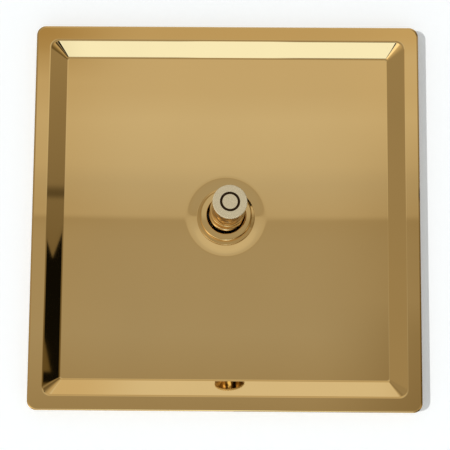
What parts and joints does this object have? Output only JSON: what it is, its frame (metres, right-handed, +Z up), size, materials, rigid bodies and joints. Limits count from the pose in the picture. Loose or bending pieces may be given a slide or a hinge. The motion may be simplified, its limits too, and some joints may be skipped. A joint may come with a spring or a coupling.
{
  "type": "toggle wall switch",
  "caption": "Square recessed polished-metal wall plate with a central cylindrical toggle lever in a round collar, on a steel mounting frame with a switch body behind.",
  "frame": {"origin": "centre of the plate on the wall surface, which is the plane of the plate's rear edge", "axes": "+Z up, +X to the right as seen from the room, the plate faces -Y and +Y goes into the wall"},
  "size_m": [0.086, 0.0449, 0.086],
  "materials": {
    "polished_brass": "mirror-polished, lacquered",
    "satin_end": "pale satin",
    "turned_brass": "as turned",
    "zinc_steel": "zinc plated",
    "black_steel": "chemically blackened, oiled",
    "spring_steel": "bright spring steel",
    "screw_steel": "nickel plated",
    "silver_contact": "bright silver alloy",
    "black_moulding": "fine matt moulded",
    "white_nylon": "smooth nylon",
    "liner_film": "pale satin sheet"
  },
  "bodies": {
    "root": {"face_plate": "polished_brass", "collar": "polished_brass", "bush": "black_steel", "plate_studs": "turned_brass", "fulcrum": "turned_brass", "upper_contact_strip": "turned_brass", "lower_contact_strip": "turned_brass", "terminal_blocks": "turned_brass", "earth_terminal": "turned_brass", "mounting_frame": "zinc_steel", "switch_cover": "zinc_steel", "lock_washer": "zinc_steel", "back_nut": "zinc_steel", "pivot_pin": "black_steel", "stud_clips": "spring_steel", "terminal_screws": "screw_steel", "earth_screw": "screw_steel", "fixed_contacts": "silver_contact", "switch_body": "black_moulding", "insulating_liner": "liner_film"},
    "lever": {"lever_stem": "polished_brass", "lever_sleeve": "polished_brass", "lever_cap": "satin_end", "plunger_spring": "spring_steel"},
    "plunger": {"plunger": "white_nylon"},
    "rocker": {"rocker": "turned_brass", "rocker_contacts": "silver_contact"}
  },
  "joints": [
    {"name": "toggle", "type": "hinge", "parent": "root", "child": "lever", "pos_m": [0, -0.003, 0], "axis": [1, 0, 0], "range_deg": [0, 13]},
    {"name": "rocker_tilt", "type": "hinge", "parent": "root", "child": "rocker", "pos_m": [0, 0.0142, 0], "axis": [1, 0, 0], "range_deg": [-13, 0]},
    {"name": "plunger_slide", "type": "slide", "parent": "lever", "child": "plunger", "axis": [0, -0.9936, 0.1132], "range_m": [0, 0.0008], "stiffness_N_per_m": 400, "springref_m": -0.002, "deforming": ["plunger_spring"]}
  ],
  "couplings": [
    {"joint": "rocker_tilt", "follows": "toggle", "ratio": -1}
  ]
}
